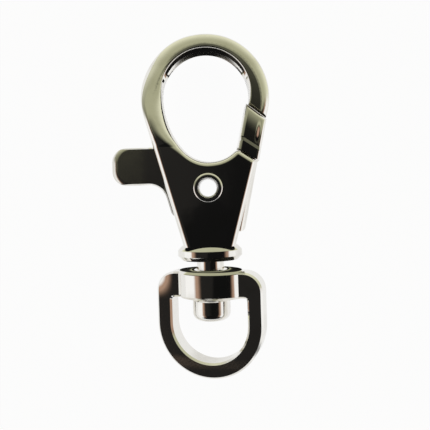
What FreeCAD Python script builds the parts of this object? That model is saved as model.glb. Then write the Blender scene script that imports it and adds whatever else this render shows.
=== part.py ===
import FreeCAD, Part
import math
import os

# Scissor snap hook with a swivelling strap ring, in millimetres.
# The origin is the middle of the gate's pivot. +Y runs along the hook to the
# end of the loop, +X towards the gate, +Z out of the front face. The hook lies
# on its back, and the strap ring is turned until its left bar touches the table.

V = FreeCAD.Vector
X_AXIS = V(1, 0, 0)
Y_AXIS = V(0, 1, 0)
Z_AXIS = V(0, 0, 1)
ORIGIN = V(0, 0, 0)

# Loop
loop_radius = 7.05            # outer edge of the loop
loop_rise = 10.0              # pivot to the middle of the loop
loop_inner_radius = 4.85      # inside of the loop, upper part
loop_inner_rise = 10.35       # pivot to the middle of the inner curve
loop_inner_shift = 0.05       # inner curve, towards the gate
loop_thickness = 3.9

# Sections of the bar from its root to its nose: how far along the straight
# flank or at what angle round the loop, share of the step from the housing's
# thickness down to the loop's, then the rounding of the outer and of the inner
# edge, each across as a share of the bar's width and high as a share of half
# its thickness. The flat of the bar moves from its outer edge at the root to
# its inner edge further on.
arm_sections = [
    (0.33, 0.15, (0.28, 0.30), (0.34, 0.28)),
    (0.67, 0.35, (0.27, 0.33), (0.50, 0.34)),
]
loop_sections = [
    (195.5, 0.60, (0.26, 0.40), (0.60, 0.40)),
    (180, 0.90, (0.30, 0.50), (0.55, 0.38)),
    (160, 1.00, (0.56, 0.82), (0.30, 0.20)),
    (135, 1.00, (0.80, 0.94), (0.09, 0.07)),
    (105, 1.00, (0.84, 0.95), (0.06, 0.06)),
    (75, 1.00, (0.83, 0.95), (0.06, 0.06)),
    (45, 1.00, (0.78, 0.92), (0.06, 0.06)),
    (15, 1.00, (0.63, 0.84), (0.06, 0.06)),
    (-26, 1.00, (0.39, 0.62), (0.06, 0.06)),
]

# Housing
flank_angle = 15.5            # taper of each flank from the hook's axis
housing_thickness = 4.8
flank_round = 0.7
throat_low = 2.79             # pivot to the lowest point of the throat
throat_shift = 0.4            # that lowest point, towards the gate
throat_radius = 3.76
throat_round = 0.52
peak_round = 0.6              # tip of the shoulder under the gate
housing_bottom = 6.35         # pivot to the top of the collar
arm_root = 4.5                # height where the loop's bar grows out of the flank

# Slot between the cheeks
slot_width = 2.0
slot_floor = 5.1              # pivot to the floor of the slot
slot_top_gap = 0.25           # slot's end above the thumb tab

# Collar, neck and swivel rivet
collar_width = 7.1
collar_depth = 5.6
collar_height = 1.6
collar_edge = 0.48
neck_radius = 1.52
neck_length = 1.05
rivet_radius = 1.0
rivet_hold = 2.2              # length of rivet held in the casting
swivel_clearance = 0.06
button_radius = 2.1
button_height = 2.4
button_round = 0.8
button_edge = 0.2

# Strap ring
barrel_width = 7.6
barrel_depth = 5.4
barrel_height = 3.05
barrel_edge = 0.3
ring_half_width = 5.15        # swivel axis to the middle of a side bar
ring_bar = 1.7
ring_thickness = 2.4
ring_edge = 0.2               # bevel along the ring's bars
ring_inner_length = 7.1       # lower end of the barrel to the far bar
ring_shoulder_round = 2.1
ring_corner_round = 0.35
shoulder_drop = 0.15          # ring's shoulder below the upper end of the barrel
shoulder_lift = 0.1           # ring's shoulder above the lower end of the barrel

# Gate lever
gate_angle = 51.3             # direction in which the gate meets the nose
nose_reach = 10.04            # pivot to the face of the nose
nose_gap = 0.28
shoulder_angle = 56.0         # direction in which the gate's foot meets the shoulder
shoulder_reach = 5.25         # pivot to the face of the shoulder
foot_gap = 0.12
lever_edge = 4.99             # lever's outer edge, level with the pivot
lever_edge_angle = 12.23      # lean of that edge
gate_width = 2.56             # across the gate, level
gate_thickness = 3.9
gate_round = 0.42
foot_thickness = 4.6
foot_height = 0.95
foot_slope = 0.35
web_thickness = 1.8
web_edge = 0.15               # bevel along the web's rim
web_cover = 0.38              # web stays this far inside the throat's edge
web_bite = 0.8                # web runs this far into the gate
tail_length = 4.9             # pivot to the end of the tail
tail_width = 1.5
tail_round = 0.65
heel_depth = 3.15             # web below the pivot
heel_width = 0.9              # heel's corner towards the tail
heel_round = 0.9
tab_reach = 10.55             # pivot to the end of the thumb tab
tab_top = 4.6
tab_bottom = 0.5
tab_round = 1.65
tab_end_round = 0.75          # rounding round the tab's end, front and back
tab_end_bend = 0.42           # radius of the end's corners, as a share of its width
tab_end_over = 0.55           # how far that rounding reaches past the tab's long edges
tab_fillet = 2.0
tab_stand = 0.3               # lever outside the left flank, under the tab

# Pivot eyelet
eyelet_radius = 1.25
eyelet_hole = 0.95
eyelet_lip = 1.58
eyelet_lip_height = 0.22
eyelet_mouth = 0.14           # bevel round the hole
eyelet_flat = 0.28            # flat of the lip, from the mouth outwards
eyelet_fit = 0.02
pivot_clearance = 0.05

# Torsion spring
wire = 0.3
coil_radius = 1.62
coil_turns = 2.25
coil_pitch = 0.31
spring_gap = 0.06             # between the spring and what lies beside it
pocket_floor = 0.5            # web left under the coil
coil_room = 0.23              # pocket's wall outside the coil
leg_side = 4.5                # leg that lies in the lever
leg_down = 5.4                # leg that stands in the slot's floor
seat_end = 0.2                # blind hole below that leg
leg_swing = 38.0              # turn of the lever that the lower leg leaves free

sin_flank = math.sin(math.radians(flank_angle))
cos_flank = math.cos(math.radians(flank_angle))
tan_flank = math.tan(math.radians(flank_angle))
tan_edge = math.tan(math.radians(lever_edge_angle))
far = 4 * loop_radius
past = web_thickness / 2       # how far a cut or a profile runs past the faces that it meets
near_by = 0.01                 # points closer together than this are taken as one
flat_to = 1e-6                 # an edge is level when it rises less than this
steepness = 1.5                # a rim edge runs along the gate when it rises this much more than it leans

DOWN_FLANK = V(sin_flank, -cos_flank, 0)
ACROSS_BAR = V(cos_flank, sin_flank, 0)
LOOP_MIDDLE = V(0, loop_rise, 0)

# The long inner wall of the left bar is tangent to the inside of the loop, at
# its left end, and to the throat's low curve
throat_lowest = V(throat_shift, throat_low, 0)
throat_middle = throat_lowest + V(0, throat_radius, 0)
from_throat = V(loop_inner_shift - loop_inner_radius - throat_middle.x, loop_inner_rise - throat_middle.y, 0)
inner_wall_radius = (from_throat.dot(from_throat) - throat_radius ** 2) / (-2 * (from_throat.x + throat_radius))
wall_middle = V(inner_wall_radius - loop_inner_radius + loop_inner_shift, loop_inner_rise, 0)
to_throat = (throat_middle - wall_middle).normalize()

collar_bottom = -housing_bottom - collar_height
neck_bottom = collar_bottom - neck_length
barrel_top = neck_bottom - swivel_clearance
barrel_bottom = barrel_top - barrel_height
button_top = barrel_bottom - swivel_clearance
button_bottom = button_top - button_height


def unit(angle):
    return V(math.cos(math.radians(angle)), math.sin(math.radians(angle)), 0)


def flank_x(y):
    """Half width of the housing at a height, on the line tangent to the loop."""
    return loop_radius * cos_flank - (loop_rise - loop_radius * sin_flank - y) * tan_flank


def lever_x(y):
    """Outer edge of the lever at a height."""
    return lever_edge + y * tan_edge


def meet(x_at_zero, lean, normal, reach):
    """Where the line x = x_at_zero + y * lean meets the line normal . p = reach."""
    y = (reach - normal.x * x_at_zero) / (normal.x * lean + normal.y)
    return V(x_at_zero + y * lean, y, 0)


def on_circle(start, direction, middle, radius, side):
    """Where a line meets a circle, on the near (-1) or the far (1) side."""
    rel = start - middle
    along = rel.dot(direction)
    return start + direction * (-along + side * math.sqrt(along ** 2 - rel.dot(rel) + radius ** 2))


def line(a, b):
    return Part.LineSegment(a, b).toShape()


def arc(a, middle, b):
    return Part.Arc(a, middle, b).toShape()


def polygon(points):
    return Part.makePolygon(points + [points[0]]).Edges


def middle_of(edge):
    return edge.valueAt((edge.FirstParameter + edge.LastParameter) / 2)


def plate(edges, low, high):
    """A closed plan outline raised from one height to another."""
    face = Part.Face(Part.Wire(Part.__sortEdges__(edges)))
    face.translate(V(0, 0, low))
    return face.extrude(V(0, 0, high - low))


def rectangle(x_low, y_low, x_high, y_high, z_low, z_high):
    return Part.makeBox(x_high - x_low, y_high - y_low, z_high - z_low, V(x_low, y_low, z_low))


def round_corner(shape, point, radius):
    """Rounds the upright edge that stands at a plan point."""
    near = [e for e in shape.Edges
            if e.BoundBox.ZLength > e.BoundBox.XLength + e.BoundBox.YLength
            and (middle_of(e) - V(point.x, point.y, middle_of(e).z)).Length < near_by]
    return shape.makeFillet(radius, near)


def rim_edges(shape, half):
    """Edges that lie in the front or the rear face of a plate."""
    return [e for e in shape.Edges
            if e.BoundBox.ZLength < flat_to and abs(abs(e.BoundBox.ZMin) - half) < flat_to]


def post(radius, low, high):
    """Round post or hole along the swivel axis."""
    return Part.makeCylinder(radius, high - low, V(0, low, 0), Y_AXIS)


def oval_post(width, depth, low, high, edge):
    """Oval post along the swivel axis with both ends bevelled."""
    face = Part.Face(Part.Wire([Part.Ellipse(ORIGIN, width / 2, depth / 2).toShape()]))
    face.rotate(ORIGIN, X_AXIS, -90)
    face.translate(V(0, low, 0))
    body = face.extrude(V(0, high - low, 0))
    ends = [e for e in body.Edges if e.BoundBox.YLength < flat_to]
    return body.makeChamfer(edge, ends)


def housing_block(root_out, root_in):
    """The tapered block with its throat, up to the root of the loop's bar."""
    normal = unit(shoulder_angle)
    right = meet(flank_x(0), tan_flank, normal, shoulder_reach)
    along = V(normal.y, -normal.x, 0)
    peak = on_circle(right, along, throat_middle, throat_radius, 1)
    join = wall_middle + to_throat * inner_wall_radius
    wall_bend = wall_middle + ((join + root_in) * 0.5 - wall_middle).normalize() * inner_wall_radius
    low_left = V(-flank_x(-housing_bottom), -housing_bottom, 0)
    low_right = V(flank_x(-housing_bottom), -housing_bottom, 0)
    half = housing_thickness / 2
    block = plate([line(low_left, low_right), line(low_right, right), line(right, peak),
                   arc(peak, throat_lowest, join), arc(join, wall_bend, root_in),
                   line(root_in, root_out), line(root_out, low_left)], -half, half)
    block = round_corner(block, peak, peak_round)
    flanks = [e for e in rim_edges(block, half)
              if e.BoundBox.YLength > housing_bottom and e.BoundBox.XLength < e.BoundBox.YLength]
    block = block.makeFillet(flank_round, flanks)
    throat = [e for e in rim_edges(block, half)
              if middle_of(e).y > 0 and (middle_of(e) - root_out).dot(DOWN_FLANK) > near_by]
    return block.makeFillet(throat_round, throat)


def quarter(a, corner, b):
    """Quarter of an ellipse from a to b, bulging towards the corner."""
    pull = 0.5523
    curve = Part.BezierCurve()
    curve.setPoles([a, a + (corner - a) * pull, b + (corner - b) * pull, b])
    return curve.toShape()


def shares_of(width, half, share):
    """A rounding's width and height from its shares of the bar's section."""
    return share[0] * width, share[1] * half


def bar_section(inner, outer, half, outer_round, inner_round):
    """Edges of the bar's closed section between two plan points."""
    width = (outer - inner).Length
    across = (outer - inner) * (1 / width)

    def at(x, z):
        return inner + across * x + V(0, 0, z)

    out_wide, out_high = outer_round
    in_wide, in_high = inner_round
    return [
        line(at(0, in_high - half), at(0, half - in_high)),
        quarter(at(0, half - in_high), at(0, half), at(in_wide, half)),
        line(at(in_wide, half), at(width - out_wide, half)),
        quarter(at(width - out_wide, half), at(width, half), at(width, half - out_high)),
        line(at(width, half - out_high), at(width, out_high - half)),
        quarter(at(width, out_high - half), at(width, -half), at(width - out_wide, -half)),
        line(at(width - out_wide, -half), at(in_wide, -half)),
        quarter(at(in_wide, -half), at(0, -half), at(0, in_high - half)),
    ]


def inside_of_loop(angle):
    """Where a ray from the loop's middle meets the inside of the bar."""
    ray = unit(angle)
    curve = V(loop_inner_shift, loop_inner_rise, 0)
    point = on_circle(LOOP_MIDDLE, ray, curve, loop_inner_radius, 1)
    if point.x < 0 and point.y < loop_inner_rise:
        point = on_circle(LOOP_MIDDLE, ray, wall_middle, inner_wall_radius, 1)
    return point


def loop_bar(block, root_out, root_in):
    """Crowned bar of the loop, from the housing's cap round to the nose."""
    thick = housing_thickness / 2
    step = (housing_thickness - loop_thickness) / 2
    root_middle = (root_out + root_in) * 0.5
    cap = min(block.Faces, key=lambda f: (f.CenterOfMass - root_middle).Length)
    model = bar_section(root_in, root_out, thick, (flank_round, flank_round), (throat_round, throat_round))
    edges = [min(cap.Edges, key=lambda e: (middle_of(e) - middle_of(m)).Length) for m in model]
    wires = [Part.Wire(edges)]
    tangent = LOOP_MIDDLE - ACROSS_BAR * loop_radius
    plan = []
    for along, share, outer_round, inner_round in arm_sections:
        outer = root_out + (tangent - root_out) * along
        inner = on_circle(outer, ACROSS_BAR, wall_middle, inner_wall_radius, -1)
        plan.append((inner, outer, share, outer_round, inner_round))
    for angle, share, outer_round, inner_round in loop_sections:
        plan.append((inside_of_loop(angle), LOOP_MIDDLE + unit(angle) * loop_radius, share, outer_round, inner_round))
    for inner, outer, share, outer_round, inner_round in plan:
        width = (outer - inner).Length
        half = thick - step * share
        wires.append(Part.Wire(bar_section(inner, outer, half, shares_of(width, half, outer_round),
                                           shares_of(width, half, inner_round))))
    bar = Part.makeLoft(wires, True, False)
    normal = unit(gate_angle)
    side = V(-normal.y, normal.x, 0)
    face = normal * nose_reach
    cutter = plate(polygon([face + side * loop_radius, face - side * loop_radius,
                            face - side * loop_radius - normal * loop_radius,
                            face + side * loop_inner_radius - normal * loop_radius]), -far, far)
    return bar.cut(cutter)


def hook_body():
    root_out = V(-flank_x(arm_root), arm_root, 0)
    root_in = on_circle(root_out, ACROSS_BAR, wall_middle, inner_wall_radius, -1)
    block = housing_block(root_out, root_in)
    body = block.fuse(loop_bar(block, root_out, root_in))
    body = body.fuse(oval_post(collar_width, collar_depth, collar_bottom, -housing_bottom, collar_edge))
    body = body.fuse(post(neck_radius, neck_bottom, collar_bottom + collar_edge))
    slot_top = tab_top + slot_top_gap
    body = body.cut(rectangle(-far, -slot_floor, far, slot_top, -slot_width / 2, slot_width / 2))
    hole = Part.makeCylinder(eyelet_radius + eyelet_fit, far, V(0, 0, -far / 2), Z_AXIS)
    body = body.cut(hole)
    body = body.cut(post(rivet_radius, neck_bottom - past, neck_bottom + rivet_hold))
    seat_low = -leg_down - seat_end
    seat = Part.makeCylinder(wire / 2 + spring_gap / 2, past, V(coil_radius, seat_low, leg_end_z()), Y_AXIS)
    return body.cut(seat)


def gate_head():
    """The thick end of the lever, between the shoulder and the nose."""
    foot = unit(shoulder_angle)
    top = unit(gate_angle)
    inner = lever_edge - gate_width
    foot_reach = shoulder_reach + foot_gap
    top_reach = nose_reach - nose_gap
    plan = plate(polygon([meet(lever_edge, tan_edge, foot, foot_reach),
                          meet(lever_edge, tan_edge, top, top_reach),
                          meet(inner, tan_edge, top, top_reach),
                          meet(inner, tan_edge, foot, foot_reach)]), -far, far)
    thick = foot_thickness / 2
    thin = gate_thickness / 2
    step = foot_reach + foot_height
    end = far / 2
    side = [V(foot_reach - past, 0, -thick), V(step, 0, -thick), V(step + foot_slope, 0, -thin), V(end, 0, -thin),
            V(end, 0, thin), V(step + foot_slope, 0, thin), V(step, 0, thick), V(foot_reach - past, 0, thick)]
    profile = Part.Face(Part.Wire(polygon(side)))
    profile.translate(V(0, -far / 2, 0))
    profile = profile.extrude(V(0, far, 0))
    profile.rotate(ORIGIN, Z_AXIS, shoulder_angle)
    head = plan.common(profile)
    rim = []
    for edge in head.Edges:
        middle = middle_of(edge)
        upright = edge.BoundBox.ZLength > gate_thickness / 2
        level_step = edge.BoundBox.ZLength < flat_to and middle.dot(foot) < step + foot_slope + near_by
        along = edge.BoundBox.YLength > edge.BoundBox.XLength * steepness
        if not upright and (along or not level_step):
            rim.append(edge)
    return head.makeFillet(gate_round, rim)


def tab_envelope(half):
    """Everything inside the thumb tab's rounded end."""
    low = tab_bottom - tab_end_over
    high = tab_top + tab_end_over
    end = rectangle(-tab_reach, low, 0, high, -half, half)
    for y in (low, high):
        end = round_corner(end, V(-tab_reach, y, 0), (high - low) * tab_end_bend)
    rim = [e for e in rim_edges(end, half) if e.BoundBox.XMin < -past]
    end = end.makeFillet(tab_end_round, rim)
    clear = -tab_reach + (high - low) * tab_end_bend
    return end.fuse(rectangle(clear, -far, far, far, -half, half))


def gate_web():
    """The plate in the slot, with the tail, the heel and the thumb tab."""
    foot = unit(shoulder_angle)
    bite = shoulder_reach + foot_gap + web_bite
    inner = lever_edge - gate_width
    cover = throat_radius + web_cover
    lean = V(tan_edge, 1, 0).normalize()
    gate_low = on_circle(V(inner, 0, 0), lean, throat_middle, cover, -1)
    tab_in = on_circle(V(0, tab_top, 0), X_AXIS, throat_middle, cover, -1)
    tab_out = V(-tab_reach, tab_top, 0)
    tab_low = V(-tab_reach, tab_bottom, 0)
    bend = V(-flank_x(tab_bottom) - tab_stand, tab_bottom, 0)
    heel = V(-flank_x(-heel_depth) - tab_stand, -heel_depth, 0)
    heel_in = V(heel_width, -heel_depth, 0)
    tail_in = V(lever_x(-tail_length) - tail_width, -tail_length, 0)
    tail_out = V(lever_x(-tail_length), -tail_length, 0)
    top_out = meet(lever_edge, tan_edge, foot, bite)
    top_in = meet(inner, tan_edge, foot, bite)
    half = web_thickness / 2
    web = plate([line(tail_out, top_out), line(top_out, top_in), line(top_in, gate_low),
                 arc(gate_low, throat_lowest - V(0, web_cover, 0), tab_in),
                 line(tab_in, tab_out), line(tab_out, tab_low), line(tab_low, bend), line(bend, heel),
                 line(heel, heel_in), line(heel_in, tail_in), line(tail_in, tail_out)], -half, half)
    for point, radius in [(tab_out, tab_round), (tab_low, tab_round), (bend, tab_fillet),
                          (heel, heel_round), (tail_out, tail_round), (tail_in, tail_round / 2)]:
        web = round_corner(web, point, radius)
    web = web.makeChamfer(web_edge, rim_edges(web, half))
    web = web.common(tab_envelope(half))
    # The lever's outer edge is fully rounded across the thickness
    edge_middle = V(lever_edge - half / lean.y, 0, 0)
    edge = Part.makeCylinder(half, 2 * far, edge_middle - lean * far, lean)
    left = V(-far, 0, 0)
    edge = edge.fuse(plate(polygon([edge_middle - lean * far, edge_middle + lean * far,
                                    edge_middle + lean * far + left, edge_middle - lean * far + left]), -half, half))
    return web.common(edge)


def leg_end_z():
    """Height of the spring's lower leg where it stands in the slot's floor."""
    return -slot_width / 2 + spring_gap + wire / 2


def coil_start_z():
    return leg_end_z() + leg_down * coil_pitch / (2 * math.pi * coil_radius)


def spring_pocket():
    """Room for the coil and its legs in the back of the lever's web."""
    low = -web_thickness
    floor = web_thickness / 2 - pocket_floor
    pocket = Part.makeCylinder(coil_radius + wire / 2 + coil_room, floor - low, V(0, 0, low), Z_AXIS)
    side = wire / 2 + spring_gap
    pocket = pocket.fuse(rectangle(-leg_side - side, coil_radius - side, 0, coil_radius + side, low, floor))
    # The lower leg stands still while the lever turns, so it sweeps a sector
    right = coil_radius + side + spring_gap
    swept = V(coil_radius - 2 * side, -leg_down, 0)
    turned = unit(math.degrees(math.atan2(swept.y, swept.x)) - leg_swing) * swept.Length
    leg_top = coil_start_z() + wire / 2 + spring_gap
    return pocket.fuse(plate(polygon([V(right, 0, 0), V(right, -leg_down, 0),
                                      V(turned.x, -leg_down, 0), V(0, 0, 0)]), low, leg_top))


def gate_lever():
    lever = gate_web().fuse(gate_head())
    lever = lever.cut(Part.makeCylinder(eyelet_radius + pivot_clearance, far, V(0, 0, -far / 2), Z_AXIS))
    return lever.cut(spring_pocket())


def pivot_eyelet():
    """Hollow rivet with a bevelled mouth and a rolled lip on each face."""
    face = housing_thickness / 2
    top = face + eyelet_lip_height
    mouth = eyelet_hole + eyelet_mouth
    flat_end = mouth + eyelet_flat
    bend = V(math.sin(math.pi / 4), 0, math.cos(math.pi / 4))
    lip_bend = V(flat_end + (eyelet_lip - flat_end) * bend.x, 0, face + eyelet_lip_height * bend.z)
    upper = [V(eyelet_hole, 0, top - eyelet_mouth), V(mouth, 0, top), V(flat_end, 0, top)]
    edges = [line(upper[0], upper[1]), line(upper[1], upper[2]),
             arc(upper[2], lip_bend, V(eyelet_lip, 0, face)),
             line(V(eyelet_lip, 0, face), V(eyelet_radius, 0, face)),
             line(V(eyelet_radius, 0, face), V(eyelet_radius, 0, 0)),
             line(V(eyelet_radius, 0, 0), V(eyelet_hole, 0, 0)),
             line(V(eyelet_hole, 0, 0), upper[0])]
    half = Part.Face(Part.Wire(edges)).revolve(ORIGIN, Z_AXIS, 360)
    other = half.mirror(ORIGIN, Z_AXIS)
    return half.fuse(other).removeSplitter()


def torsion_spring():
    """Coil round the eyelet, one leg in the slot's floor and one in the lever."""
    rise = coil_pitch / (2 * math.pi * coil_radius)
    start = V(coil_radius, 0, coil_start_z())
    foot = V(coil_radius, -leg_down, leg_end_z())
    coil = Part.makeHelix(coil_pitch, coil_pitch * coil_turns, coil_radius)
    coil.translate(V(0, 0, start.z))
    end = unit(360 * coil_turns) * coil_radius + V(0, 0, start.z + coil_pitch * coil_turns)
    tip = end + V(-leg_side, 0, leg_side * rise)
    path = Part.Wire([line(foot, start)] + coil.Edges + [line(end, tip)])
    round_of_eight = [foot + V(math.cos(math.radians(45 * i)), 0, math.sin(math.radians(45 * i))) * (wire / 2)
                      for i in range(8)]
    return path.makePipeShell([Part.Wire(polygon(round_of_eight))], True, True)


def swivel_rivet():
    shank = post(rivet_radius, button_top - button_edge, neck_bottom + rivet_hold)
    button = post(button_radius, button_bottom, button_top)
    lower = [e for e in button.Edges if e.BoundBox.YMax < button_bottom + flat_to]
    button = button.makeFillet(button_round, lower)
    upper = [e for e in button.Edges if e.BoundBox.YMin > button_top - flat_to]
    return button.makeChamfer(button_edge, upper).fuse(shank)


def resting_turn():
    """Turn about the swivel axis at which the ring's left bar touches the table."""
    reach = ring_half_width + ring_bar / 2 - ring_edge
    lift = ring_thickness / 2 - ring_edge
    height = collar_depth / 2 - ring_edge
    return math.degrees(math.asin(height / math.hypot(reach, lift)) - math.atan2(lift, reach))


def swivel_ring():
    half = ring_thickness / 2
    outer = ring_half_width + ring_bar / 2
    inner = ring_half_width - ring_bar / 2
    top = barrel_top - shoulder_drop
    inner_top = barrel_bottom + shoulder_lift
    bend_y = barrel_bottom - ring_inner_length + inner

    def outline(radius, y_top):
        left = V(-radius, bend_y, 0)
        right = V(radius, bend_y, 0)
        return plate([line(left, V(-radius, y_top, 0)), line(V(-radius, y_top, 0), V(radius, y_top, 0)),
                      line(V(radius, y_top, 0), right), arc(right, V(0, bend_y - radius, 0), left)], -half, half)

    frame = outline(outer, top)
    eye = outline(inner, inner_top)
    for side in (-1, 1):
        frame = round_corner(frame, V(side * outer, top, 0), ring_shoulder_round)
        eye = round_corner(eye, V(side * inner, inner_top, 0), ring_corner_round)
    ring = frame.cut(eye)
    ring = ring.makeChamfer(ring_edge, rim_edges(ring, half))
    ring = ring.fuse(oval_post(barrel_width, barrel_depth, barrel_bottom, barrel_top, barrel_edge))
    ring = ring.cut(post(rivet_radius + swivel_clearance, barrel_bottom - past, barrel_top + past))
    ring.rotate(ORIGIN, Y_AXIS, -resting_turn())
    return ring


NODES = {
    "hook_body": hook_body,
    "gate_lever": gate_lever,
    "pivot_eyelet": pivot_eyelet,
    "torsion_spring": torsion_spring,
    "swivel_rivet": swivel_rivet,
    "swivel_ring": swivel_ring,
}

if __name__ == "__main__":
    os.makedirs("parts", exist_ok=True)
    for name, build in NODES.items():
        shape = build()
        shape.exportStep("parts/" + name + ".step")
        box = shape.BoundBox
        print(name, shape.isValid(), len(shape.Solids), round(shape.Volume, 3),
              [round(v, 2) for v in (box.XMin, box.XMax, box.YMin, box.YMax, box.ZMin, box.ZMax)])
    print("ring turned by", round(resting_turn(), 3), "degrees")
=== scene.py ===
"""Looks of a nickel plated scissor snap hook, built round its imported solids."""

import math

import bpy
from bpy.props import FloatProperty, FloatVectorProperty, PointerProperty
from mathutils import Matrix, Vector


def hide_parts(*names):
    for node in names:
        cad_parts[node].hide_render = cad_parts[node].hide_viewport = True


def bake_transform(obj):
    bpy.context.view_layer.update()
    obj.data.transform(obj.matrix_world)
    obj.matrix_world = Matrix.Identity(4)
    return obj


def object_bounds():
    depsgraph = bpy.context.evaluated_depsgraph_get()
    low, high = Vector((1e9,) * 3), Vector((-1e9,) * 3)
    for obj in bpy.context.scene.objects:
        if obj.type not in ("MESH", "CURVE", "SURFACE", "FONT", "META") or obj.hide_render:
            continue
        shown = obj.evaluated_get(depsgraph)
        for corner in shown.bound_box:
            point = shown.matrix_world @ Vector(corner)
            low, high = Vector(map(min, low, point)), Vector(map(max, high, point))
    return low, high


bl_info = {
    "name": "Scissor snap hook",
    "version": (1, 0, 0),
    "blender": (4, 5, 0),
    "location": "3D View > Sidebar > Snap hook",
    "description": "Plated finishes, torsion spring and studio of a scissor snap hook",
    "category": "Object",
}

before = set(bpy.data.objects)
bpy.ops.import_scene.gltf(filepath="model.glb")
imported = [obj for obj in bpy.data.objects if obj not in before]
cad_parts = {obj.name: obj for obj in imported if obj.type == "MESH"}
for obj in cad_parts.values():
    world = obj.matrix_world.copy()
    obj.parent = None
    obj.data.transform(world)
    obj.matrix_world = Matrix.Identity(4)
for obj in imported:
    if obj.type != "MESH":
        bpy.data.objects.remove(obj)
cad_low, cad_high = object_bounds()


# Sizes and colours


def length(name, description, default):
    return FloatProperty(name=name, description=description, default=default, subtype="DISTANCE", unit="LENGTH",
                         precision=5)


def colour(name, description, default):
    return FloatVectorProperty(name=name, description=description, default=default, subtype="COLOR", size=3,
                               min=0.0, max=1.0)


class HOOK_PG_spring(bpy.types.PropertyGroup):
    """Torsion spring in the lever's pocket"""

    wire: length("Wire", "Diameter of the spring wire", 0.00030)
    coil: length("Coil", "Radius of the coil, to the middle of the wire", 0.00162)
    pitch: length("Pitch", "Rise of one turn", 0.00031)
    turns: FloatProperty(name="Turns", description="Turns of the coil", default=2.25)
    leg_side: length("Side leg", "Length of the leg that lies in the lever", 0.0045)
    leg_down: length("Lower leg", "Length of the leg that stands in the body", 0.0054)
    low: length("Lowest", "Height of the lower leg's end, at the middle of the wire", -0.00079)


class HOOK_PG_finish(bpy.types.PropertyGroup):
    """Nickel plate and spring steel"""

    nickel: colour("Nickel", "Colour of the bright plate", (0.90, 0.885, 0.85))
    haze: colour("Haze", "Colour of the plate where it has dulled", (0.66, 0.64, 0.58))
    # Colour of the unpolished casting skin, darker than the polish: its darkness is painted shade in the recesses
    cast: colour("Cast skin", "Colour of the plate in the unpolished recesses", (0.50, 0.49, 0.46))
    steel: colour("Steel", "Colour of the drawn spring wire", (0.47, 0.47, 0.46))
    stain: colour("Stain", "Colour of the stains on the spring wire", (0.30, 0.27, 0.24))
    gloss: FloatProperty(name="Gloss", description="Roughness of the polished faces", default=0.07, min=0.0, max=1.0)
    ripple: length("Ripple", "Depth of the polish's waviness", 0.000004)
    grain: length("Grain", "Depth of the cast skin's grain", 0.000012)
    drawn: length("Drawing lines", "Depth of the lines along the spring wire", 0.000003)


class HOOK_PG_studio(bpy.types.PropertyGroup):
    """Camera, floor and light"""

    height: length("Camera height", "Height of the camera over the middle of the hook", 0.0585)
    roll: FloatProperty(name="Roll", description="Lean of the hook in the picture", default=math.radians(1.75),
                        subtype="ANGLE", unit="ROTATION")
    lens: FloatProperty(name="Lens", description="Focal length in mm on a square sensor of 36 mm", default=43.99)
    floor: colour("Floor", "Colour of the floor and the background", (1.0, 1.0, 1.0))
    shade: colour("Shade", "Colour of the room behind the camera", (0.006, 0.006, 0.006))
    shade_left: colour("Left shade", "The same, on the thumb tab's side", (0.017, 0.016, 0.015))
    blush: colour("Blush", "Colour at the border of that shade", (0.42, 0.27, 0.19))
    khaki: colour("Khaki", "Colour of the room beyond the hook's loop, low down", (0.80, 0.80, 0.60))
    khaki_high: colour("High khaki", "The same, higher up", (0.42, 0.42, 0.28))
    clean: FloatProperty(name="Clean floor", description="How much of the floor's own colour the camera sees",
                         default=0.96, min=0.0, max=1.0)
    mirrored: FloatProperty(name="Mirrored floor", description="The same, as the plate mirrors it", default=0.84,
                            min=0.0, max=1.0)
    daylight: FloatProperty(name="Daylight", description="Strength of the room's light", default=1.0, min=0.0)


# Shader maths


class Value:
    """An output socket that takes Python's operators"""

    def __init__(self, tree, socket):
        self.tree = tree
        self.socket = socket

    def maths(self, operation, *others):
        node = self.tree.nodes.new("ShaderNodeMath")
        node.operation = operation
        for place, other in enumerate((self,) + others):
            plug(self.tree, other, node.inputs[place])
        return Value(self.tree, node.outputs[0])

    def __add__(self, other):
        return self.maths("ADD", other)

    __radd__ = __add__

    def __mul__(self, other):
        return self.maths("MULTIPLY", other)

    __rmul__ = __mul__

    def __sub__(self, other):
        return self.maths("SUBTRACT", other)

    def __rsub__(self, other):
        return (self * -1.0) + other

    def __truediv__(self, other):
        return self.maths("DIVIDE", other)

    def __pow__(self, other):
        return self.maths("POWER", other)

    def __abs__(self):
        return self.maths("ABSOLUTE")

    def most(self, other):
        return self.maths("MAXIMUM", other)

    def step(self, low, high):
        """0 below low and 1 above high, smooth between them"""
        node = self.tree.nodes.new("ShaderNodeMapRange")
        node.interpolation_type = "SMOOTHSTEP"
        plug(self.tree, self, node.inputs["Value"])
        node.inputs["From Min"].default_value = low
        node.inputs["From Max"].default_value = high
        return Value(self.tree, node.outputs["Result"])

    def fall(self, low, high):
        """1 below low and 0 above high, smooth between them"""
        return 1 - self.step(low, high)


def plug(tree, value, socket):
    if isinstance(value, Value):
        tree.links.new(value.socket, socket)
    else:
        socket.default_value = value


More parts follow.
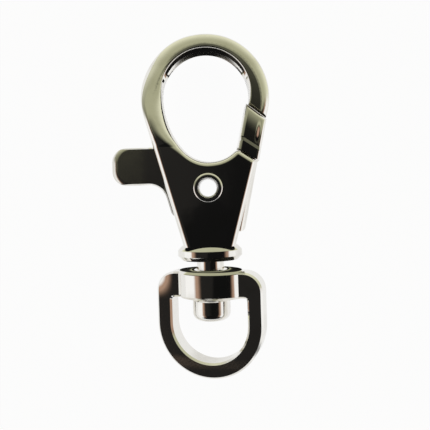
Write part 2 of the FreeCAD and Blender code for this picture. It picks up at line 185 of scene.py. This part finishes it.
class Board:
    """Nodes of one material or of the world"""

    def __init__(self, owner):
        owner.use_nodes = True
        self.tree = owner.node_tree
        self.tree.nodes.clear()

    def add(self, kind, settings=None, output=0, **values):
        node = self.tree.nodes.new(kind)
        for name, setting in (settings or {}).items():
            setattr(node, name, setting)
        for name, value in values.items():
            plug(self.tree, value, node.inputs[name.replace("_", " ")])
        return Value(self.tree, node.outputs[output])

    def place(self):
        """The object's own coordinates, in millimetres"""
        metres = self.add("ShaderNodeTexCoord", output="Object")
        return self.add("ShaderNodeMapping", Vector=metres, Scale=(1000.0, 1000.0, 1000.0))

    def parts(self, vector):
        node = self.tree.nodes.new("ShaderNodeSeparateXYZ")
        plug(self.tree, vector, node.inputs[0])
        return [Value(self.tree, socket) for socket in node.outputs]

    def noise(self, vector, scale, detail=3.0, roughness=0.5):
        return self.add("ShaderNodeTexNoise", Vector=vector, Scale=scale, Detail=detail, Roughness=roughness)

    def mix(self, amount, first, second):
        node = self.tree.nodes.new("ShaderNodeMix")
        node.data_type = "RGBA"
        plug(self.tree, amount, node.inputs[0])
        for value, socket in ((first, node.inputs[6]), (second, node.inputs[7])):
            plug(self.tree, value if isinstance(value, Value) else (*value, 1.0), socket)
        return Value(self.tree, node.outputs[2])

    def bump(self, height, depth, under=None):
        values = {"Height": height, "Distance": depth, "Strength": 1.0}
        if under is not None:
            values["Normal"] = under
        return self.add("ShaderNodeBump", **values)

    def vector(self, x, y, z):
        return self.add("ShaderNodeCombineXYZ", X=x, Y=y, Z=z)

    def leaning(self, lean):
        """The surface's normal, leaned by a vector in the object's own directions"""
        turn = {"vector_type": "VECTOR", "convert_from": "OBJECT", "convert_to": "WORLD"}
        lean = self.add("ShaderNodeVectorTransform", turn, Vector=lean)
        node = self.tree.nodes.new("ShaderNodeVectorMath")
        node.operation = "ADD"
        plug(self.tree, self.add("ShaderNodeNewGeometry", output="Normal"), node.inputs[0])
        plug(self.tree, lean, node.inputs[1])
        return self.add("ShaderNodeVectorMath", {"operation": "NORMALIZE"}, Vector=Value(self.tree, node.outputs[0]))

    def surface(self, shader):
        end = self.tree.nodes.new("ShaderNodeOutputMaterial")
        self.tree.links.new(shader.socket, end.inputs["Surface"])


# Metals

# Centre and radius, in mm, of the arcs that bound the loop's opening: its round end, its left wall and its throat
LOOP_END = (0.05, 10.35, 4.85)
LEFT_WALL = (4.69, 10.35, 9.49)
THROAT = (0.4, 6.55, 3.76)


def beyond(place, arc):
    """Distance out of an arc, in mm"""
    x, y, z = place
    across, along, radius = arc
    return ((x - across) ** 2.0 + (y - along) ** 2.0) ** 0.5 - radius


def scratches(board, place, turn):
    """Fine hairlines: a stretched noise cut to its thin ridges"""
    streaks = board.add("ShaderNodeMapping", Vector=place, Rotation=turn, Scale=(0.6, 14.0, 14.0))
    return board.noise(streaks, 3.0, 4.0, 0.6).step(0.66, 0.74)


def plated(name, raw_skin_and_shade=None, turned=None, worn=None, lean=None):
    """Bright nickel on a casting or a pin

    Each of the skin mask, turned, worn and lean is a function of the board and the place in millimetres. The skin
    mask marks the casting's unpolished skin, rougher and darkened there as painted shade; turned gives the lathe's
    rings, worn masks what is rubbed, and lean gives the vector that leans the normal.
    """
    look = bpy.context.scene.hook_finish
    material = bpy.data.materials.new(name)
    board = Board(material)
    place = board.place()
    cloud = board.noise(place, 0.35, 3.0, 0.55)
    speck = board.noise(place, 6.0, 2.0, 0.6)
    dulled = cloud.step(0.48, 0.72) * 0.35 + speck.step(0.66, 0.78) * 0.2
    hair = scratches(board, place, (0.3, 0.2, 0.9)).most(scratches(board, place, (0.1, 0.4, -0.5)))
    hair = hair * cloud.step(0.35, 0.7)
    rough = look.gloss + dulled * 0.05 + hair * 0.05
    wave = board.noise(place, 0.8, 1.0, 0.4)
    shade = board.mix(dulled, look.nickel, look.haze)
    if worn is not None:
        rubbed = worn(board, place)
        rough = rough + rubbed * (0.05 + 0.12 * speck)
        shade = board.mix(rubbed * 0.4, shade, look.haze)
    normal = None
    if lean is not None:
        normal = board.leaning(lean(board, place))
    normal = board.bump(wave, look.ripple, normal)
    if turned is not None:
        rings = turned(board, place)
        normal = board.bump(rings, look.ripple * 0.5, normal)
        rough = rough + rings * 0.03
    # Casting skin: rougher grained plate, and a darker colour that is painted shade in the recesses it masks
    if raw_skin_and_shade is not None:
        skin = raw_skin_and_shade(board, place)
        grain = board.noise(place, 9.0, 3.0, 0.6)
        rough = rough * (1 - skin) + skin * (0.36 + 0.12 * grain)
        shade = board.mix(skin * (0.6 + 0.4 * grain), shade, look.cast)
        normal = board.bump(grain * skin, look.grain, normal)
    shader = board.add("ShaderNodeBsdfPrincipled", Base_Color=shade, Metallic=1.0, Roughness=rough, Normal=normal)
    board.surface(shader)
    return material


def body_recess_skin_and_shade(board, place):
    """Cast skin of the slot and of the cheeks' inner faces, with painted shade darkening these recesses"""
    x, y, z = board.parts(place)
    return abs(z).fall(0.99, 1.01) * y.step(-6.2, -6.1) * y.fall(5.0, 5.1)


def body_lean(board, place):
    """What the polishing left: a flatter crown on the loop, a sloping left arm and a leaning inner wall"""
    x, y, z = board.parts(place)
    crown = y.step(4.5, 9.0) * 0.6
    loop = beyond((x, y, z), LOOP_END)
    low = (x * 0.66 - y * 0.75 + 4.65).step(-0.3, 0.3)
    inner = beyond((x, y, z), LEFT_WALL) * (1 - low) + beyond((x, y, z), THROAT) * low
    width = 0.7 + y.step(3.2, 6.5) * 1.4
    slope = (1 - inner / width).most(0.0) * x.fall(-1.0, 1.0) * y.fall(7.0, 11.4) * 0.5
    # The bar's left side falls away outwards where the slope has ended
    outwards = loop.step(0.0, 0.8) * x.fall(-4.2, -2.5) * y.step(8.0, 11.5) * y.fall(12.5, 15.5) * 0.24
    # The arm's root runs evenly into the housing's face
    root = y.step(4.49, 4.51) * y.fall(4.5, 7.2) * x.fall(-1.5, -0.5) * 0.10
    upright = loop.fall(0.03, 0.09) * z.fall(1.55, 1.68) * y.step(11.6, 13.0) * 1.7
    # The collar's upper bevel is rounder than it is wide
    collar = y.step(-6.86, -6.8) * y.fall(-6.38, -6.34) * abs(z).step(1.2, 1.6)
    inwards = (slope - outwards) / -LEFT_WALL[2]
    across = (x - LEFT_WALL[0]) * inwards - x * collar * 0.16
    forwards = x.fall(-4.2, -2.5) * y.step(6.5, 9.5) * y.fall(12.0, 15.0) * 0.24
    along = (y - LEFT_WALL[1]) * inwards - root + forwards
    return board.vector(across, along, z.maths("SIGN") * (crown + collar * 0.55) + upright)


def lever_lean(board, place):
    """The gate's end falls towards the nose, and a dent runs along its outer edge"""
    x, y, z = board.parts(place)
    reach = x * 0.625 + y * 0.780
    inside = x - y * 0.217 - 4.99
    end = (reach - 7.7).most(0.0) * inside.step(-2.9, -2.6) * 0.075
    dent = inside.step(-1.05, -0.7) * inside.fall(-0.65, -0.35) * reach.step(6.7, 7.9) * reach.fall(8.2, 9.4)
    foot = x * 0.559 + y * 0.829
    step = foot.step(6.26, 6.31) * foot.fall(6.68, 6.73) * inside.step(-2.42, -2.34) * inside.fall(-0.3, -0.2)
    return board.vector(end * 0.3 + dent * 0.46, end - dent * 0.14, z.maths("SIGN") * step * 7.0)


def ring_lean(board, place):
    """The ring's left shoulder falls away, and the barrel's ends are rounder than they are wide"""
    x, y, z = board.parts(place)
    shoulder = x.fall(-6.2, -3.8) * y.step(-12.6, -9.4) * z.step(-2.2, -1.4)
    barrel = abs(x).fall(3.6, 3.8) * y.step(-9.42, -9.36) * abs(z).step(1.0, 1.5)
    top = y.step(-9.12, -9.09) * ((x * x + z * z) ** 0.5).step(1.7, 2.9) * abs(z).fall(2.4, 2.7)
    return board.vector(shoulder * -0.34 - x * barrel * 0.16, shoulder * 0.06,
                        z.maths("SIGN") * barrel * 0.8 + top * 9.0)


def lever_web_skin_and_shade(board, place):
    """Cast skin of the lever's thin web, between the cheeks, with painted shade darkening it there"""
    x, y, z = board.parts(place)
    inside = (x - y * 0.27).step(-5.0, -4.7) * (x - y * 0.22).fall(3.9, 4.1)
    return abs(z).fall(0.9, 1.0) * inside * y.fall(4.2, 4.6)


def loop_rub(board, place):
    """Where a hung ring rubs the loop's inner end"""
    x, y, z = board.parts(place)
    from_end = board.add("ShaderNodeVectorMath", {"operation": "DISTANCE"}, output="Value", Vector=place)
    return from_end.fall(14.6, 15.4) * y.step(12.5, 14.5)


def turned_about_z(board, place):
    """Rings that the lathe left on the eyelet"""
    x, y, z = board.parts(place)
    from_axis = (x * x + y * y) ** 0.5
    return (from_axis * 60.0).maths("SINE") * 0.5 + 0.5


def turned_about_y(board, place):
    """Rings that the lathe left on the swivel rivet"""
    x, y, z = board.parts(place)
    from_axis = (x * x + z * z) ** 0.5
    return ((from_axis + y) * 50.0).maths("SINE") * 0.5 + 0.5


def barrel_bore_skin_and_shade(board, place):
    """Cast skin of the barrel's bore, with painted shade darkening the bore"""
    x, y, z = board.parts(place)
    return ((x * x + z * z) ** 0.5).fall(1.1, 1.2) * y.step(-12.3, -12.1)


def strap_rub(board, place):
    """Where a strap rubs the ring's far bar"""
    x, y, z = board.parts(place)
    return y.fall(-18.9, -18.2) * y.step(-20.2, -19.4)


def tab_rub(board, place):
    """Where a thumb rubs the lever's tab"""
    x, y, z = board.parts(place)
    return x.fall(-7.6, -6.2)


def drawn_steel(name):
    """Spring wire with its drawing lines along the wire"""
    look = bpy.context.scene.hook_finish
    material = bpy.data.materials.new(name)
    board = Board(material)
    place = board.place()
    x, y, z = board.parts(place)
    lower_leg = y.fall(-0.6, -0.2) * x.step(1.3, 1.4)
    side_leg = x.fall(-0.6, -0.2) * y.step(1.3, 1.4)
    coil = ((x * x + y * y) ** 0.5) * (1 - lower_leg) * (1 - side_leg)
    across = coil + x * lower_leg + y * side_leg * (1 - lower_leg)
    lines = board.noise(board.vector(across * 30.0, z * 30.0, 0.0), 1.0, 3.0, 0.6)
    stain = board.noise(place, 1.4, 2.0, 0.5).step(0.5, 0.7)
    shade = board.mix(stain * 0.5, look.steel, look.stain)
    rough = 0.24 + 0.16 * lines + stain * 0.1
    shader = board.add("ShaderNodeBsdfPrincipled", Base_Color=shade, Metallic=1.0, Roughness=rough,
                       Normal=board.bump(lines, look.drawn))
    board.surface(shader)
    return material


# Pieces


def clear_selection():
    if bpy.context.object is not None and bpy.context.object.mode != "OBJECT":
        bpy.ops.object.mode_set(mode="OBJECT")
    bpy.ops.object.select_all(action="DESELECT")


def dress(node, material):
    """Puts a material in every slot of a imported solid"""
    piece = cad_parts[node]
    if not piece.material_slots:
        piece.data.materials.append(material)
    for place in piece.material_slots:
        place.material = material


class HOOK_OT_plate(bpy.types.Operator):
    """Plate the castings, the eyelet and the rivet with bright nickel"""

    bl_idname = "hook.plate"
    bl_label = "Nickel plate"

    def execute(self, context):
        # The skin masks darken the slot, the lever's web and the bore as painted shade
        dress("hook_body", plated("body nickel", raw_skin_and_shade=body_recess_skin_and_shade, worn=loop_rub, lean=body_lean))
        dress("gate_lever", plated("gate nickel", raw_skin_and_shade=lever_web_skin_and_shade, worn=tab_rub, lean=lever_lean))
        dress("pivot_eyelet", plated("eyelet nickel", turned=turned_about_z))
        dress("swivel_rivet", plated("rivet nickel", turned=turned_about_y))
        dress("swivel_ring", plated("ring nickel", raw_skin_and_shade=barrel_bore_skin_and_shade, worn=strap_rub, lean=ring_lean))
        return {"FINISHED"}


WIRE_SIDES = 14
COIL_STEPS = 72
LEG_STEPS = 6


def pick(piece, test):
    """Selects the vertices that pass a test, and goes into edit mode"""
    bpy.ops.object.mode_set(mode="EDIT")
    bpy.ops.mesh.select_mode(type="VERT")
    bpy.ops.mesh.select_all(action="DESELECT")
    bpy.ops.object.mode_set(mode="OBJECT")
    for vertex in piece.data.vertices:
        vertex.select = test(vertex.co)
    bpy.ops.object.mode_set(mode="EDIT")


class HOOK_OT_spring(bpy.types.Operator):
    """Wind the torsion spring round the eyelet and draw out its two legs"""

    bl_idname = "hook.spring"
    bl_label = "Torsion spring"

    def execute(self, context):
        spring = context.scene.hook_spring
        rise = spring.pitch / (2 * math.pi * spring.coil)
        start = spring.low + spring.leg_down * rise
        end = start + spring.pitch * spring.turns
        clear_selection()
        bpy.ops.mesh.primitive_circle_add(vertices=WIRE_SIDES, radius=spring.wire / 2,
                                          location=(spring.coil, 0, start), rotation=(math.pi / 2, 0, 0))
        piece = context.object
        piece.name = "spring_wire"
        bpy.ops.object.transform_apply(location=True, rotation=True, scale=True)
        screw = piece.modifiers.new("coil", "SCREW")
        screw.angle = 2 * math.pi * spring.turns
        screw.screw_offset = spring.pitch * spring.turns
        screw.steps = screw.render_steps = COIL_STEPS
        bpy.ops.object.modifier_apply(modifier="coil")
        near = spring.wire * 0.02
        self.leg(piece, lambda co: abs(co.y) < near and co.x > 0 and co.z < start + spring.wire * 0.6,
                 Vector((0, -spring.leg_down, -spring.leg_down * rise)), spring)
        self.leg(piece, lambda co: abs(co.x) < near and co.y > 0 and co.z > end - spring.wire * 0.6,
                 Vector((-spring.leg_side, 0, spring.leg_side * rise)), spring)
        bpy.ops.object.mode_set(mode="EDIT")
        bpy.ops.mesh.select_all(action="SELECT")
        bpy.ops.mesh.remove_doubles(threshold=1e-7)
        bpy.ops.mesh.normals_make_consistent(inside=False)
        bpy.ops.object.mode_set(mode="OBJECT")
        bpy.ops.object.shade_smooth_by_angle(angle=math.radians(50))
        piece.data.materials.append(drawn_steel("spring steel"))
        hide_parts("torsion_spring")
        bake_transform(piece)
        return {"FINISHED"}

    def leg(self, piece, test, reach, spring):
        """Draws a leg out of one end of the coil and closes it with a rounded end"""
        pick(piece, test)
        for step in range(LEG_STEPS):
            bpy.ops.mesh.extrude_edges_move(TRANSFORM_OT_translate={"value": reach / LEG_STEPS})
        bpy.ops.mesh.edge_face_add()
        bpy.ops.mesh.bevel(offset=spring.wire * 0.2, segments=3, affect="EDGES")
        bpy.ops.object.mode_set(mode="OBJECT")


PICTURE = 430  # pixels across and along the picture
SENSOR = 36.0  # mm
SHIFT = (3.175, -24.3)  # pixels by which the hook stands off the camera's axis in the picture
STAND = (0.0004, -0.00033)  # the point that the camera stands over


class HOOK_OT_studio(bpy.types.Operator):
    """Set the floor, the soft light and the camera"""

    bl_idname = "hook.studio"
    bl_label = "Studio"

    def execute(self, context):
        studio = context.scene.hook_studio
        self.floor(studio)
        self.room(studio)
        self.camera(studio)
        context.scene.view_settings.view_transform = "Standard"
        return {"FINISHED"}

    def floor(self, studio):
        clear_selection()
        bpy.ops.mesh.primitive_plane_add(size=0.6, location=(0, 0, cad_low.z))
        floor = bpy.context.object
        floor.name = "floor"
        material = bpy.data.materials.new("pale floor")
        board = Board(material)
        path = "ShaderNodeLightPath"
        seen = board.add(path, output="Is Camera Ray")
        mirrored = board.add(path, output="Is Glossy Ray").most(board.add(path, output="Is Transmission Ray"))
        lit = board.add("ShaderNodeBsdfDiffuse", Color=(*studio.floor, 1.0), Roughness=0.0)
        glow = board.add("ShaderNodeEmission", Color=(*studio.floor, 1.0), Strength=1.0)
        node = board.tree.nodes.new("ShaderNodeMixShader")
        plug(board.tree, seen * studio.clean + mirrored * studio.mirrored, node.inputs[0])
        board.tree.links.new(lit.socket, node.inputs[1])
        board.tree.links.new(glow.socket, node.inputs[2])
        board.surface(Value(board.tree, node.outputs[0]))
        floor.data.materials.append(material)

    def room(self, studio):
        world = bpy.data.worlds.new("soft room")
        bpy.context.scene.world = world
        board = Board(world)
        x, y, z = board.parts(board.add("ShaderNodeTexCoord", output="Generated"))
        flat = (x * x + y * y + 0.0001) ** 0.5
        ahead = y / flat
        # White at the sides below half height, a warm border, and the dark room overhead
        above = board.mix(x.step(-0.05, 0.06), studio.shade_left, studio.shade)
        shade = board.mix(z.step(0.55, 0.66), (1.0, 1.0, 1.0), above)
        shade = board.mix(z.step(0.46, 0.58) * z.fall(0.60, 0.76), shade, studio.blush)
        # The dim side nearest to the strap ring reaches down to the horizon
        shade = board.mix(ahead.fall(-0.80, -0.55) * z.step(0.12, 0.3), shade, studio.shade)
        # The khaki side beyond the loop, brighter towards the gate and dimmer overhead
        khaki = board.mix(z.step(0.1, 0.85), studio.khaki, studio.khaki_high)
        khaki = board.mix((x / flat).step(-1.1, -0.5), board.mix(0.65, khaki, studio.shade), khaki)
        shade = board.mix(ahead.step(0.0, 0.3) * z.fall(0.88, 0.998), shade, khaki)
        # The camera sees plain white past the floor's edge
        shade = board.mix(board.add("ShaderNodeLightPath", output="Is Camera Ray"), shade, studio.floor)
        light = board.add("ShaderNodeBackground", Color=shade, Strength=studio.daylight)
        end = board.tree.nodes.new("ShaderNodeOutputWorld")
        board.tree.links.new(light.socket, end.inputs["Surface"])

    def camera(self, studio):
        data = bpy.data.cameras.new("camera")
        camera = bpy.data.objects.new("camera", data)
        bpy.context.scene.collection.objects.link(camera)
        data.sensor_width = SENSOR
        data.lens = studio.lens
        data.clip_start = 0.001
        data.clip_end = 10.0
        data.shift_x, data.shift_y = (pixels / PICTURE for pixels in SHIFT)
        along = Vector((math.sin(studio.roll), math.cos(studio.roll), 0))
        right = along.cross(Vector((0, 0, 1)))
        turn = Matrix((right, along, Vector((0, 0, 1)))).transposed()
        camera.matrix_world = Matrix.Translation((*STAND, studio.height)) @ turn.to_4x4()
        bpy.context.scene.camera = camera


class HOOK_PT_panel(bpy.types.Panel):
    """Snap hook"""

    bl_label = "Snap hook"
    bl_idname = "HOOK_PT_panel"
    bl_space_type = "VIEW_3D"
    bl_region_type = "UI"
    bl_category = "Snap hook"

    def draw(self, context):
        layout = self.layout
        for group in (context.scene.hook_spring, context.scene.hook_finish, context.scene.hook_studio):
            box = layout.box()
            for name in group.__annotations__:
                box.prop(group, name)
        for operator in (HOOK_OT_plate, HOOK_OT_spring, HOOK_OT_studio):
            layout.operator(operator.bl_idname)


CLASSES = (HOOK_PG_spring, HOOK_PG_finish, HOOK_PG_studio, HOOK_OT_plate, HOOK_OT_spring, HOOK_OT_studio,
           HOOK_PT_panel)


def register():
    for item in CLASSES:
        bpy.utils.register_class(item)
    bpy.types.Scene.hook_spring = PointerProperty(type=HOOK_PG_spring)
    bpy.types.Scene.hook_finish = PointerProperty(type=HOOK_PG_finish)
    bpy.types.Scene.hook_studio = PointerProperty(type=HOOK_PG_studio)


def unregister():
    del bpy.types.Scene.hook_studio
    del bpy.types.Scene.hook_finish
    del bpy.types.Scene.hook_spring
    for item in reversed(CLASSES):
        bpy.utils.unregister_class(item)


def main():
    register()
    bpy.ops.hook.plate()
    bpy.ops.hook.spring()
    bpy.ops.hook.studio()


if __name__ == "__main__":
    main()
